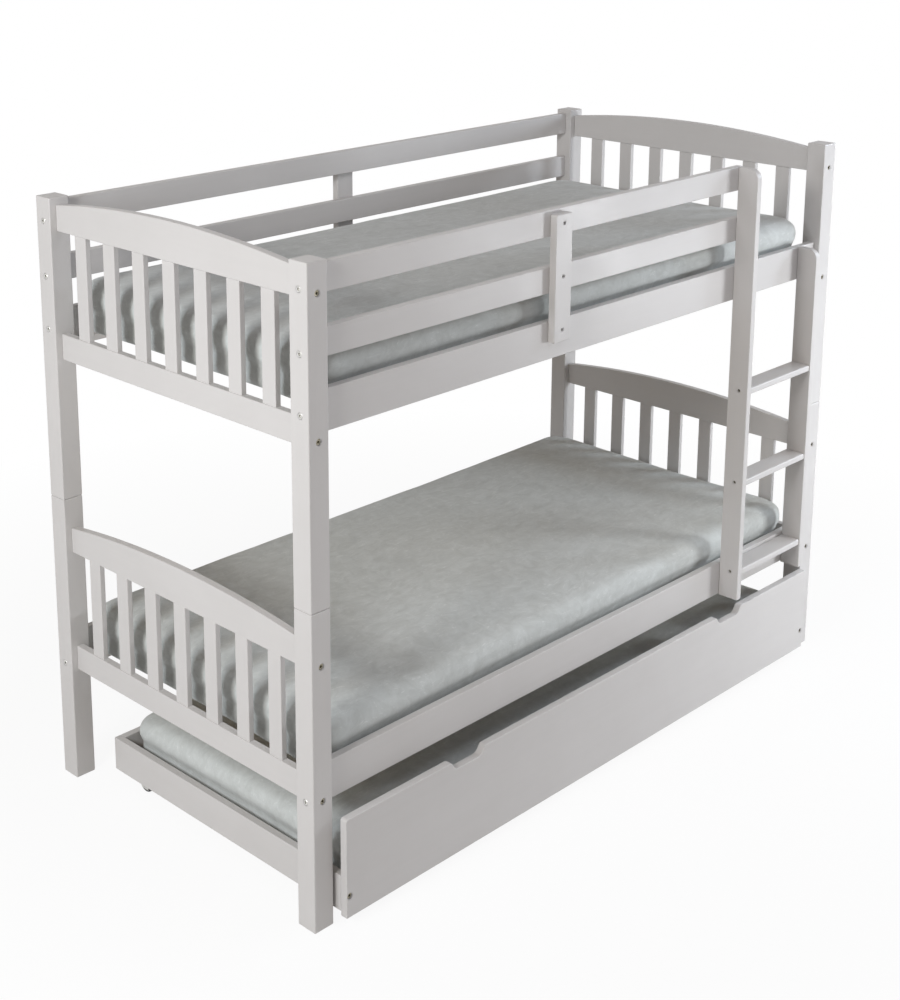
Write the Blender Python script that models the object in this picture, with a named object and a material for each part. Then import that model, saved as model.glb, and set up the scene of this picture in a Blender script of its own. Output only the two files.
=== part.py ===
"""Bunk bed with slatted end panels, a ladder and a pull-out trundle on casters.

The bed stands on the floor at z = 0 with its length along X and the ladder on
its front, which faces -Y. Each named object is one real piece.
"""

import math

import bmesh
import bpy
from mathutils import Matrix, Vector

# Driving dimensions, in metres

# Whole bed, measured over the posts
bed_length = 2.037
bed_width = 0.981
fit_gap = 0.0003
edge_radius = 0.002
edge_segments = 2
edge_angle = math.radians(40)
smooth_angle = math.radians(35)

# Posts, split at half height and joined there by steel pins
post_size = 0.057
post_edge_radius = 0.003
lower_post_height = 0.775
upper_post_height = 0.775
seam_pin_radius = 0.005
seam_pin_length = 0.080
seam_pin_clearance = 0.0004
seam_pin_chamfer = 0.001
round_steps = 12

# Side rails; each height is measured from the foot of its own post
board_thickness = 0.020
side_rail_height = 0.095
side_rail_inset = 0.0168
lower_rail_rise = 0.305
upper_rail_rise = 0.395

# Guard rails of the upper bunk, above the side rail
guard_rail_height = 0.065
middle_guard_gap = 0.070
top_guard_gap = 0.074

# Boards that stiffen the guard rails from outside
support_width = 0.060
support_overlap = 0.051
support_top_margin = 0.0105
support_corner_radius = 0.005
front_support_from_post = 0.7315

# End panels: a bottom rail with its slats, and an arched top rail
end_rail_inset = 0.0185
end_rail_height = 0.066
lower_panel_rise = 0.3055
upper_panel_rise = 0.366
panel_clear_height = 0.259
arch_shoulder_height = 0.065
arch_rise = 0.029
arch_steps = 16
slat_count = 7
slat_width = 0.044
slat_thickness = 0.015
tenon_shoulder = 0.004
tenon_length = 0.012
mortise_clearance = 0.0005

# Slatted bases: cross slats held by two webbing tapes, lying on cleats
cleat_width = 0.020
cleat_height = 0.016
base_slat_count = 14
base_slat_width = 0.065
base_slat_thickness = 0.014
base_side_gap = 0.003
base_end_gap = 0.090
tape_width = 0.030
tape_thickness = 0.0015
tape_sink = 0.0005
tape_place_share = 0.28

# Ladder on the front of the bed
ladder_inner_width = 0.300
ladder_post_gap = 0.0675
stile_thickness = 0.020
stile_depth = 0.0615
stile_drop = 0.002
stile_top_margin = 0.0015
stile_corner_radius = 0.028
tread_count = 3
tread_thickness = 0.018
tread_depth = 0.060
tread_edge_radius = 0.004
first_tread_rise = 0.089
tread_step = 0.2675

# Mattresses of the two bunks
mattress_left_gap = 0.013
mattress_right_gap = 0.029
mattress_side_gap = 0.0062
mattress_thickness = 0.139
mattress_top_radius = 0.040
mattress_bottom_radius = 0.022
mattress_corner_radius = 0.050
mattress_crown = 0.005
mattress_side_draw = 0.004
mattress_waist_draw = 0.0025
corner_steps = 4
long_side_steps = 6
short_side_steps = 3
bottom_edge_steps = 3
top_edge_steps = 4
crown_inset_shares = (0.22, 0.48, 0.78)

# Trundle, shown almost pushed in
trundle_left_gap = 0.0085
trundle_right_gap = 0.0245
panel_height = 0.248
panel_floor_gap = 0.024
panel_reach = 0.0345
panel_corner_radius = 0.008
cutout_from_center = 0.5435
cutout_width = 0.118
cutout_base_width = 0.090
cutout_depth = 0.022
cutout_shoulder_radius = 0.008
cutout_base_radius = 0.020
fillet_steps = 5
small_fillet_steps = 2
tray_height = 0.090
tray_floor_gap = 0.035
tray_back_gap = 0.1385
tray_cleat_rise = 0.007
tray_slat_margin = 0.045
tray_mattress_thickness = 0.118
tray_mattress_end_gap = 0.014
tray_mattress_front_gap = 0.010
tray_mattress_back_gap = 0.012

# Casters, bolted to the inner faces of the trundle's end boards
wheel_radius = 0.025
wheel_width = 0.018
wheel_hub_radius = 0.009
wheel_rim_radius = 0.019
wheel_dish = 0.003
wheel_edge = 0.002
wheel_steps = 20
axle_radius = 0.004
axle_clearance = 0.0004
axle_overhang = 0.0015
bracket_sheet = 0.0015
bracket_side_gap = 0.001
bracket_top_gap = 0.003
bracket_foot = 0.009
fork_width = 0.026
bracket_plate_width = 0.050
bracket_plate_height = 0.040
bracket_plate_rise = 0.014
bracket_corner_radius = 0.006
front_caster_from_panel = 0.100
back_caster_from_back = 0.098

# Places that follow from the sizes above
post_center_x = (bed_length - post_size) / 2
post_center_y = (bed_width - post_size) / 2
post_inner_x = bed_length / 2 - post_size
post_inner_y = bed_width / 2 - post_size
seam_height = lower_post_height + fit_gap

rail_outer_y = bed_width / 2 - side_rail_inset
rail_inner_y = rail_outer_y - board_thickness
rail_bottoms = {"lower": lower_rail_rise, "upper": seam_height + upper_rail_rise}
panel_bottoms = {"lower": lower_panel_rise, "upper": seam_height + upper_panel_rise}
upper_rail_top = rail_bottoms["upper"] + side_rail_height
guard_bottoms = {
    "middle": upper_rail_top + middle_guard_gap,
    "top": upper_rail_top + middle_guard_gap + guard_rail_height + top_guard_gap,
}
guard_top = guard_bottoms["top"] + guard_rail_height

outside_rail_y = rail_outer_y + fit_gap
ladder_right_x = post_inner_x - ladder_post_gap
ladder_left_x = ladder_right_x - ladder_inner_width - 2 * stile_thickness
stile_bottom = rail_bottoms["lower"] - stile_drop
front_reach = outside_rail_y + stile_depth
back_reach = outside_rail_y + board_thickness

trundle_left_x = -post_inner_x + trundle_left_gap
trundle_right_x = post_inner_x - trundle_right_gap
trundle_length = trundle_right_x - trundle_left_x
panel_front_y = -bed_width / 2 - panel_reach
panel_back_y = panel_front_y + board_thickness
tray_back_y = bed_width / 2 - tray_back_gap
tray_inner_left_x = trundle_left_x + board_thickness
tray_inner_right_x = trundle_right_x - board_thickness
tray_cleat_bottom = tray_floor_gap + tray_cleat_rise
wheel_middle = bracket_sheet + bracket_side_gap + wheel_width / 2
web_bottom = wheel_radius + bracket_top_gap

ends = {"left": -1, "right": 1}
faces = {"front": -1, "back": 1}


# Materials

def surface(name, color, roughness, metallic=0.0):
    """A plain coloured material."""
    material = bpy.data.materials.new(name)
    material.use_nodes = True
    shader = material.node_tree.nodes["Principled BSDF"]
    shader.inputs["Base Color"].default_value = (*color, 1.0)
    shader.inputs["Roughness"].default_value = roughness
    shader.inputs["Metallic"].default_value = metallic
    return material


# Shared shapes

def clear_scene():
    """Start from an empty scene."""
    for item in list(bpy.data.objects):
        bpy.data.objects.remove(item, do_unlink=True)


def anchor(name, place, parent=None):
    """An empty that carries the pieces of one body."""
    empty = bpy.data.objects.new(name, None)
    bpy.context.collection.objects.link(empty)
    empty.parent = parent
    empty.location = place
    return empty


def add_piece(name, bm, material, parent, place, smooth=False):
    """Turn a finished mesh into a named object at its place."""
    bmesh.ops.recalc_face_normals(bm, faces=bm.faces)
    mesh = bpy.data.meshes.new(name)
    bm.to_mesh(mesh)
    bm.free()
    mesh.materials.append(material)
    if smooth:
        mesh.shade_smooth()
        mesh.set_sharp_from_angle(angle=smooth_angle)
    piece = bpy.data.objects.new(name, mesh)
    bpy.context.collection.objects.link(piece)
    piece.parent = parent
    piece.location = place
    return piece


def round_edges(piece, radius=edge_radius, segments=edge_segments):
    """Ease the sharp edges of a piece."""
    bevel = piece.modifiers.new("eased_edges", "BEVEL")
    bevel.width = radius
    bevel.segments = segments
    bevel.limit_method = "ANGLE"
    bevel.angle_limit = edge_angle
    return piece


def combine(piece, other, operation):
    """Cut another shape out of a piece, or join it on, and hide that shape."""
    boolean = piece.modifiers.new(operation.lower(), "BOOLEAN")
    boolean.operation = operation
    boolean.solver = "EXACT"
    boolean.object = other
    other.hide_render = True
    other.display_type = "WIRE"
    return piece


def box_mesh(size, offset=(0, 0, 0)):
    """A box of the given size round its offset."""
    bm = bmesh.new()
    bmesh.ops.create_cube(bm, size=1)
    bmesh.ops.scale(bm, vec=Vector(size), verts=bm.verts)
    bmesh.ops.translate(bm, vec=Vector(offset), verts=bm.verts)
    return bm


def board(name, low, high, material, parent, radius=edge_radius, segments=edge_segments):
    """A board with eased edges between two corners."""
    low = Vector(low)
    high = Vector(high)
    piece = add_piece(name, box_mesh(high - low), material, parent, (low + high) / 2)
    return round_edges(piece, radius, segments)


def plate_mesh(outline, thickness, across):
    """Extrude an outline of (along, up) points into a plate, centred on its thickness."""
    bm = bmesh.new()
    half = thickness / 2
    if across == "X":
        corners = [bm.verts.new((-half, along, up)) for along, up in outline]
        step = Vector((thickness, 0, 0))
    else:
        corners = [bm.verts.new((along, -half, up)) for along, up in outline]
        step = Vector((0, thickness, 0))
    face = bm.faces.new(corners)
    grown = bmesh.ops.extrude_face_region(bm, geom=[face])
    moved = [item for item in grown["geom"] if isinstance(item, bmesh.types.BMVert)]
    bmesh.ops.translate(bm, vec=step, verts=moved)
    return bm


def rounded_rectangle(size_x, size_y, radius):
    """Points round a rectangle about the Z axis, with rounded corners."""
    corners = (
        (-size_x / 2, -size_y / 2, radius),
        (size_x / 2, -size_y / 2, radius),
        (size_x / 2, size_y / 2, radius),
        (-size_x / 2, size_y / 2, radius),
    )
    return filleted(corners, edge_segments)


def add_lofted(bm, loops):
    """A closed body through loops of equally many points, capped at both ends."""
    rings = [[bm.verts.new(point) for point in loop] for loop in loops]
    for lower, upper in zip(rings, rings[1:]):
        for index, corner in enumerate(lower):
            following = (index + 1) % len(lower)
            bm.faces.new((corner, lower[following], upper[following], upper[index]))
    bm.faces.new(reversed(rings[0]))
    bm.faces.new(rings[-1])


def filleted(corners, steps):
    """Outline through (along, up, radius) corners, each rounded by its own radius."""
    points = []
    for index, (along, up, radius) in enumerate(corners):
        corner = Vector((along, up))
        before = Vector(corners[index - 1][:2]) - corner
        after = Vector(corners[(index + 1) % len(corners)][:2]) - corner
        if radius == 0:
            points.append(tuple(corner))
            continue
        before.normalize()
        after.normalize()
        half_angle = before.angle(after) / 2
        reach = radius / math.tan(half_angle)
        middle = (before + after).normalized()
        center = corner + middle * (radius / math.sin(half_angle))
        start = corner + before * reach - center
        turn = start.angle_signed(corner + after * reach - center)
        for step in range(steps + 1):
            spoke = Matrix.Rotation(-turn * step / steps, 2) @ start
            points.append(tuple(center + spoke))
    return points


def rod_mesh(radius, length, steps, chamfer=0.0):
    """A rod along Z with chamfered ends, centred on its own middle."""
    bm = bmesh.new()
    bmesh.ops.create_cone(
        bm, cap_ends=True, segments=steps, radius1=radius, radius2=radius, depth=length
    )
    if chamfer:
        rims = [edge for edge in bm.edges if abs(edge.verts[0].co.z - edge.verts[1].co.z) < chamfer]
        bmesh.ops.bevel(bm, geom=rims, offset=chamfer, segments=1, affect="EDGES")
    return bm


# Posts and their seam pins

def add_posts(paint, steel, frame):
    """Four posts, each of a lower and an upper half on one steel pin."""
    heights = {"lower": lower_post_height, "upper": upper_post_height}
    feet = {"lower": 0, "upper": seam_height}
    for face, toward in faces.items():
        for end, outward in ends.items():
            x = outward * post_center_x
            y = toward * post_center_y
            middle = lower_post_height + fit_gap / 2
            bore = add_piece(
                f"seam_bore_{face}_{end}",
                rod_mesh(
                    seam_pin_radius + seam_pin_clearance,
                    seam_pin_length + 2 * seam_pin_clearance,
                    round_steps,
                ),
                steel,
                frame,
                (x, y, middle),
            )
            for level, height in heights.items():
                post = board(
                    f"{level}_post_{face}_{end}",
                    (x - post_size / 2, y - post_size / 2, feet[level]),
                    (x + post_size / 2, y + post_size / 2, feet[level] + height),
                    paint,
                    frame,
                    post_edge_radius,
                )
                combine(post, bore, "DIFFERENCE")
            pin = rod_mesh(seam_pin_radius, seam_pin_length, round_steps, seam_pin_chamfer)
            add_piece(f"seam_pin_{face}_{end}", pin, steel, frame, (x, y, middle), smooth=True)


# End panels

def slat_centers():
    """Places of the slats along a panel, with equal gaps between them and the posts."""
    gap = (2 * post_inner_y - slat_count * slat_width) / (slat_count + 1)
    first = -post_inner_y + gap + slat_width / 2
    return [first + index * (slat_width + gap) for index in range(slat_count)]


def arch_outline():
    """Flat below and a shallow arc above, about the middle of the rail's lower edge."""
    half = post_inner_y - fit_gap
    radius = (half**2 + arch_rise**2) / (2 * arch_rise)
    center_z = arch_shoulder_height + arch_rise - radius
    half_angle = math.asin(half / radius)
    points = [(-half, 0), (half, 0)]
    for step in range(arch_steps + 1):
        angle = half_angle * (1 - 2 * step / arch_steps)
        points.append((radius * math.sin(angle), center_z + radius * math.cos(angle)))
    return points


def add_prism(bm, center, sections):
    """An upright body at a slat's place through (outline, height) sections."""
    add_lofted(
        bm, [[(x, center + y, height) for x, y in outline] for outline, height in sections]
    )


def slats_mesh():
    """Seven upright slats with a shouldered tenon on top, from the bottom rail's upper edge."""
    body = rounded_rectangle(slat_thickness, slat_width, edge_radius)
    tongue = rounded_rectangle(
        slat_thickness - 2 * tenon_shoulder, slat_width - 2 * tenon_shoulder, edge_radius
    )
    shoulder = panel_clear_height - fit_gap
    sections = (
        (body, -tenon_length),
        (body, shoulder),
        (tongue, shoulder),
        (tongue, shoulder + tenon_length),
    )
    bm = bmesh.new()
    for center in slat_centers():
        add_prism(bm, center, sections)
    return bm


def mortises_mesh():
    """The seven pockets that the tenons enter, from the arched rail's lower edge."""
    half_x = slat_thickness / 2 - tenon_shoulder + mortise_clearance
    half_y = slat_width / 2 - tenon_shoulder + mortise_clearance
    pocket = ((-half_x, -half_y), (half_x, -half_y), (half_x, half_y), (-half_x, half_y))
    depth = tenon_length + mortise_clearance
    bm = bmesh.new()
    for center in slat_centers():
        add_prism(bm, center, ((pocket, -depth), (pocket, depth)))
    return bm


def add_end_panels(paint, frame):
    """Two panels for each bunk, one at each end."""
    rail_x = bed_length / 2 - end_rail_inset - board_thickness / 2
    rail_size = (board_thickness, 2 * (post_inner_y - fit_gap), end_rail_height)
    for level, bottom in panel_bottoms.items():
        for end, outward in ends.items():
            x = outward * rail_x
            rail_top = bottom + end_rail_height
            arch_bottom = rail_top + panel_clear_height
            panel = add_piece(
                f"slatted_panel_{level}_{end}",
                box_mesh(rail_size, (0, 0, -end_rail_height / 2)),
                paint,
                frame,
                (x, 0, rail_top),
            )
            round_edges(panel)
            slats = add_piece(
                f"slats_{level}_{end}", slats_mesh(), paint, frame, (x, 0, rail_top)
            )
            combine(panel, slats, "UNION")
            arch = add_piece(
                f"arch_rail_{level}_{end}",
                plate_mesh(arch_outline(), board_thickness, "X"),
                paint,
                frame,
                (x, 0, arch_bottom),
            )
            round_edges(arch)
            mortises = add_piece(
                f"mortises_{level}_{end}", mortises_mesh(), paint, frame, (x, 0, arch_bottom)
            )
            combine(arch, mortises, "DIFFERENCE")


# Side rails, cleats and slatted bases

def add_side_rails(paint, frame):
    """A rail along each side of each bunk, with a cleat inside that carries the slats."""
    reach = post_inner_x - fit_gap
    for level, bottom in rail_bottoms.items():
        for face, toward in faces.items():
            y = sorted((toward * rail_outer_y, toward * rail_inner_y))
            board(
                f"side_rail_{level}_{face}",
                (-reach, y[0], bottom),
                (reach, y[1], bottom + side_rail_height),
                paint,
                frame,
            )
            near = toward * (rail_inner_y - fit_gap)
            y = sorted((near, near - toward * cleat_width))
            board(
                f"slat_cleat_{level}_{face}",
                (-reach, y[0], bottom),
                (reach, y[1], bottom + cleat_height),
                paint,
                frame,
                segments=1,
            )


def add_slat_base(name, center, length, width, wood, parent):
    """Cross slats joined by two webbing tapes, standing on the given underside point."""
    slats = bmesh.new()
    first = (base_slat_width - length) / 2
    pitch = (length - base_slat_width) / (base_slat_count - 1)
    for index in range(base_slat_count):
        made = bmesh.ops.create_cube(slats, size=1)["verts"]
        size = Vector((base_slat_width, width, base_slat_thickness))
        bmesh.ops.scale(slats, vec=size, verts=made)
        place = Vector((first + index * pitch, 0, base_slat_thickness / 2))
        bmesh.ops.translate(slats, vec=place, verts=made)
    base = add_piece(name, slats, wood, parent, center)
    tapes = bmesh.new()
    for side in faces.values():
        made = bmesh.ops.create_cube(tapes, size=1)["verts"]
        size = Vector((length - base_slat_width, tape_width, tape_thickness + tape_sink))
        bmesh.ops.scale(tapes, vec=size, verts=made)
        drop = (tape_sink - tape_thickness) / 2
        place = Vector((0, side * tape_place_share * width, drop))
        bmesh.ops.translate(tapes, vec=place, verts=made)
    tape = add_piece(f"{name}_tapes", tapes, wood, parent, center)
    return combine(base, tape, "UNION")


def add_bunk_bases(wood, frame):
    """One slatted base on the cleats of each bunk."""
    width = 2 * (rail_inner_y - base_side_gap)
    length = 2 * (post_inner_x - base_end_gap)
    for level, bottom in rail_bottoms.items():
        underside = bottom + cleat_height + fit_gap
        add_slat_base(f"slat_base_{level}", (0, 0, underside), length, width, wood, frame)


# Guard rails and their supports

def add_guard_rails(paint, frame):
    """Two guard rails on each side of the upper bunk; the front ones stop at the ladder."""
    left = -post_inner_x + fit_gap
    right_ends = {"front": ladder_left_x + stile_thickness, "back": post_inner_x - fit_gap}
    for height_name, bottom in guard_bottoms.items():
        for face, toward in faces.items():
            y = sorted((toward * rail_outer_y, toward * rail_inner_y))
            board(
                f"guard_rail_{height_name}_{face}",
                (left, y[0], bottom),
                (right_ends[face], y[1], bottom + guard_rail_height),
                paint,
                frame,
            )


def add_supports(paint, frame):
    """An upright board outside the rails in front and one at the back."""
    half = support_width / 2
    bottom = upper_rail_top - support_overlap
    height = guard_top - support_top_margin - bottom
    outline = filleted(
        (
            (-half, 0, 0),
            (half, 0, 0),
            (half, height, support_corner_radius),
            (-half, height, support_corner_radius),
        ),
        fillet_steps,
    )
    centers = {"front": -post_inner_x + front_support_from_post + half, "back": 0}
    for face, toward in faces.items():
        y = toward * (outside_rail_y + board_thickness / 2)
        support = add_piece(
            f"guard_support_{face}",
            plate_mesh(outline, board_thickness, "Y"),
            paint,
            frame,
            (centers[face], y, bottom),
        )
        round_edges(support)


# Ladder

def add_stile(name, left_x, top, paint, frame):
    """One upright of the ladder, rounded at its top front corner."""
    height = top - stile_bottom
    outline = filleted(
        (
            (-stile_depth, 0, 0),
            (0, 0, 0),
            (0, height, 0),
            (-stile_depth, height, stile_corner_radius),
        ),
        fillet_steps,
    )
    stile = add_piece(
        name,
        plate_mesh(outline, stile_thickness, "X"),
        paint,
        frame,
        (left_x + stile_thickness / 2, -outside_rail_y, stile_bottom),
    )
    return round_edges(stile)


def add_ladder(paint, frame):
    """A long left stile, a short right stile and flat treads between them."""
    add_stile("ladder_stile_left", ladder_left_x, guard_top - stile_top_margin, paint, frame)
    add_stile("ladder_stile_right", ladder_right_x - stile_thickness, upper_rail_top, paint, frame)
    left = ladder_left_x + stile_thickness + fit_gap
    right = ladder_right_x - stile_thickness - fit_gap
    for index in range(tread_count):
        top = stile_bottom + first_tread_rise + index * tread_step
        board(
            f"ladder_tread_{index + 1}",
            (left, -outside_rail_y - tread_depth, top - tread_thickness),
            (right, -outside_rail_y, top),
            paint,
            frame,
            tread_edge_radius,
        )


# Mattresses

def mattress_loop(half_length, half_width, inset, height):
    """One closed loop round the mattress, its sides drawn in between the corners."""
    keep = 1 - inset / half_width
    radius = mattress_corner_radius * keep
    draw = mattress_side_draw * keep
    x = half_length - inset - radius
    y = half_width - inset - radius
    loop = []
    for quarter, (sign_x, sign_y) in enumerate(((1, 1), (-1, 1), (-1, -1), (1, -1))):
        for step in range(corner_steps + 1):
            angle = (quarter + step / corner_steps) * math.pi / 2
            along = sign_x * x + radius * math.cos(angle)
            across = sign_y * y + radius * math.sin(angle)
            loop.append((along, across, height))
        is_long_side = quarter % 2 == 0
        steps = long_side_steps if is_long_side else short_side_steps
        for step in range(1, steps + 1):
            slide = 1 - 2 * step / (steps + 1)
            bow = draw * (1 - slide**2)
            if is_long_side:
                loop.append((sign_x * x * slide, sign_y * (y + radius - bow), height))
            else:
                loop.append((sign_x * (x + radius - bow), sign_y * y * slide, height))
    return loop


def mattress_rings(thickness, half_width):
    """(inset, height) of each ring, from the flat underside over the sides to the crown."""
    rings = []
    for step in range(bottom_edge_steps + 1):
        angle = math.pi / 2 * step / bottom_edge_steps
        inset = mattress_bottom_radius * (1 - math.sin(angle))
        rings.append((inset, mattress_bottom_radius * (1 - math.cos(angle))))
    waist = (mattress_bottom_radius + thickness - mattress_top_radius) / 2
    rings.append((mattress_waist_draw, waist))
    for step in range(top_edge_steps + 1):
        angle = math.pi / 2 * step / top_edge_steps
        inset = mattress_top_radius * (1 - math.cos(angle))
        rings.append((inset, thickness - mattress_top_radius * (1 - math.sin(angle))))
    flat_width = half_width - mattress_top_radius
    for share in crown_inset_shares:
        lift = mattress_crown * (1 - (1 - share) ** 2)
        rings.append((mattress_top_radius + share * flat_width, thickness + lift))
    return rings


def add_mattress(name, length, width, thickness, cover, parent, place):
    """A foam mattress with round edges, a slight crown and sides that are drawn in."""
    bm = bmesh.new()
    rings = mattress_rings(thickness, width / 2)
    add_lofted(bm, [mattress_loop(length / 2, width / 2, *ring) for ring in rings])
    return add_piece(name, bm, cover, parent, place, smooth=True)


def add_bunk_mattresses(cover, frame):
    """One mattress on each slatted base."""
    length = 2 * post_inner_x - mattress_left_gap - mattress_right_gap
    center_x = (mattress_left_gap - mattress_right_gap) / 2
    width = 2 * (rail_inner_y - mattress_side_gap)
    for level, bottom in rail_bottoms.items():
        underside = bottom + cleat_height + base_slat_thickness + 2 * fit_gap
        add_mattress(
            f"mattress_{level}",
            length,
            width,
            mattress_thickness,
            cover,
            frame,
            (center_x, 0, underside),
        )


# Trundle

def panel_outline():
    """The front panel seen from the front, with two hand cut-outs in its top edge."""
    half = trundle_length / 2
    corners = [
        (-half, 0, 0),
        (half, 0, 0),
        (half, panel_height, panel_corner_radius),
    ]
    base = panel_height - cutout_depth
    for side in (1, -1):
        center = side * cutout_from_center
        corners += [
            (center + cutout_width / 2, panel_height, cutout_shoulder_radius),
            (center + cutout_base_width / 2, base, cutout_base_radius),
            (center - cutout_base_width / 2, base, cutout_base_radius),
            (center - cutout_width / 2, panel_height, cutout_shoulder_radius),
        ]
    corners.append((-half, panel_height, panel_corner_radius))
    return filleted(corners, fillet_steps)


def add_trundle_boards(paint, trundle):
    """The front panel, two end boards, the back board and the cleats inside."""
    panel = add_piece(
        "trundle_front_panel",
        plate_mesh(panel_outline(), board_thickness, "Y"),
        paint,
        trundle,
        (
            (trundle_left_x + trundle_right_x) / 2,
            panel_front_y + board_thickness / 2,
            panel_floor_gap,
        ),
    )
    round_edges(panel)
    tray_top = tray_floor_gap + tray_height
    tray_front_y = panel_back_y + fit_gap
    end_boards = {
        "left": (trundle_left_x, tray_inner_left_x),
        "right": (tray_inner_right_x, trundle_right_x),
    }
    for end, (left, right) in end_boards.items():
        board(
            f"trundle_end_board_{end}",
            (left, tray_front_y, tray_floor_gap),
            (right, tray_back_y, tray_top),
            paint,
            trundle,
        )
    left = tray_inner_left_x + fit_gap
    right = tray_inner_right_x - fit_gap
    tray_inner_back_y = tray_back_y - board_thickness
    board(
        "trundle_back_board",
        (left, tray_inner_back_y, tray_floor_gap),
        (right, tray_back_y, tray_top),
        paint,
        trundle,
    )
    cleats = {
        "front": (tray_front_y, tray_front_y + cleat_width),
        "back": (tray_inner_back_y - fit_gap - cleat_width, tray_inner_back_y - fit_gap),
    }
    for face, (near, far) in cleats.items():
        board(
            f"trundle_cleat_{face}",
            (left, near, tray_cleat_bottom),
            (right, far, tray_cleat_bottom + cleat_height),
            paint,
            trundle,
            segments=1,
        )


def add_trundle_bed(wood, cover, trundle):
    """The trundle's slatted base on its cleats, and its thinner mattress."""
    center_x = (trundle_left_x + trundle_right_x) / 2
    inner_length = tray_inner_right_x - tray_inner_left_x
    inner_back_y = tray_back_y - board_thickness
    base_y = (panel_back_y + inner_back_y) / 2
    underside = tray_cleat_bottom + cleat_height + fit_gap
    add_slat_base(
        "trundle_slat_base",
        (center_x, base_y, underside),
        inner_length - 2 * tray_slat_margin,
        inner_back_y - panel_back_y - 2 * base_side_gap,
        wood,
        trundle,
    )
    front = panel_back_y + tray_mattress_front_gap
    back = inner_back_y - tray_mattress_back_gap
    add_mattress(
        "trundle_mattress",
        inner_length - 2 * tray_mattress_end_gap,
        back - front,
        tray_mattress_thickness,
        cover,
        trundle,
        (center_x, (front + back) / 2, underside + base_slat_thickness + fit_gap),
    )


# Casters

def wheel_mesh():
    """A solid wheel turned about the X axis, dished between its hub and its rim."""
    half = wheel_width / 2
    dish = half - wheel_dish
    bore = axle_radius + axle_clearance
    profile = [
        (-half, bore),
        (-half, wheel_hub_radius),
        (-dish, wheel_hub_radius + wheel_edge),
        (-dish, wheel_rim_radius - wheel_edge),
        (-half, wheel_rim_radius),
        (-half, wheel_radius - wheel_edge),
        (wheel_edge - half, wheel_radius),
    ]
    profile += [(-along, radius) for along, radius in reversed(profile)]
    bm = bmesh.new()
    ring = [bm.verts.new((along, 0, -radius)) for along, radius in profile]
    edges = [bm.edges.new((ring[index - 1], ring[index])) for index in range(len(ring))]
    bmesh.ops.spin(
        bm,
        geom=ring + edges,
        cent=(0, 0, 0),
        axis=(1, 0, 0),
        dvec=(0, 0, 0),
        angle=math.tau,
        steps=wheel_steps,
        use_merge=True,
    )
    return bm


def fork_mesh(inward):
    """The folded fork in its section across the wheel, its outer cheek on the board's face."""
    inner_cheek = 2 * wheel_middle
    foot = bracket_foot - wheel_radius
    section = (
        (0, foot),
        (bracket_sheet, foot),
        (bracket_sheet, web_bottom),
        (inner_cheek - bracket_sheet, web_bottom),
        (inner_cheek - bracket_sheet, foot),
        (inner_cheek, foot),
        (inner_cheek, web_bottom + bracket_sheet),
        (0, web_bottom + bracket_sheet),
    )
    return plate_mesh([(inward * along, up) for along, up in section], fork_width, "Y")


def screw_plate_mesh(inward):
    """The plate against the board, wider than the fork, with room for its screws."""
    half = bracket_plate_width / 2
    top = web_bottom + bracket_plate_rise
    outline = filleted(
        (
            (-half, top - bracket_plate_height, bracket_corner_radius),
            (half, top - bracket_plate_height, bracket_corner_radius),
            (half, top, bracket_corner_radius),
            (-half, top, bracket_corner_radius),
        ),
        small_fillet_steps,
    )
    bm = plate_mesh(outline, bracket_sheet, "X")
    bmesh.ops.translate(bm, vec=Vector((inward * bracket_sheet / 2, 0, 0)), verts=bm.verts)
    return bm


def axle_mesh(inward):
    """The axle across both cheeks, with a short riveted end past the inner one."""
    start = bracket_sheet / 2
    end = 2 * wheel_middle + axle_overhang
    bm = rod_mesh(axle_radius, end - start, round_steps)
    turn = Matrix.Rotation(math.pi / 2, 4, "Y")
    shift = Matrix.Translation((inward * (start + end) / 2, 0, 0))
    bmesh.ops.transform(bm, matrix=shift @ turn, verts=bm.verts)
    return bm


def add_bracket(name, inward, place, steel, parent):
    """A steel fork on its screw plate, with the wheel's axle riveted across it."""
    fork = add_piece(name, fork_mesh(inward), steel, parent, place)
    plate = add_piece(f"{name}_plate", screw_plate_mesh(inward), steel, parent, place)
    axle = add_piece(f"{name}_axle", axle_mesh(inward), steel, parent, place)
    combine(fork, plate, "UNION")
    return combine(fork, axle, "UNION")


def add_casters(steel, tyre, trundle):
    """Four fixed casters; each wheel hangs on an anchor at its axle."""
    caster_ys = {
        "front": panel_back_y + front_caster_from_panel,
        "back": tray_back_y - back_caster_from_back,
    }
    board_faces = {"left": tray_inner_left_x, "right": tray_inner_right_x}
    for face, y in caster_ys.items():
        for end, outward in ends.items():
            face_x = board_faces[end] - outward * fit_gap
            place = Vector((face_x, y, wheel_radius))
            add_bracket(f"caster_bracket_{face}_{end}", -outward, place, steel, trundle)
            wheel_place = place - Vector((outward * wheel_middle, 0, 0))
            axis = anchor(f"wheel_axis_{face}_{end}", wheel_place, trundle)
            name = f"caster_wheel_{face}_{end}"
            add_piece(name, wheel_mesh(), tyre, axis, (0, 0, 0), smooth=True)


# Assembly

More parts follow.
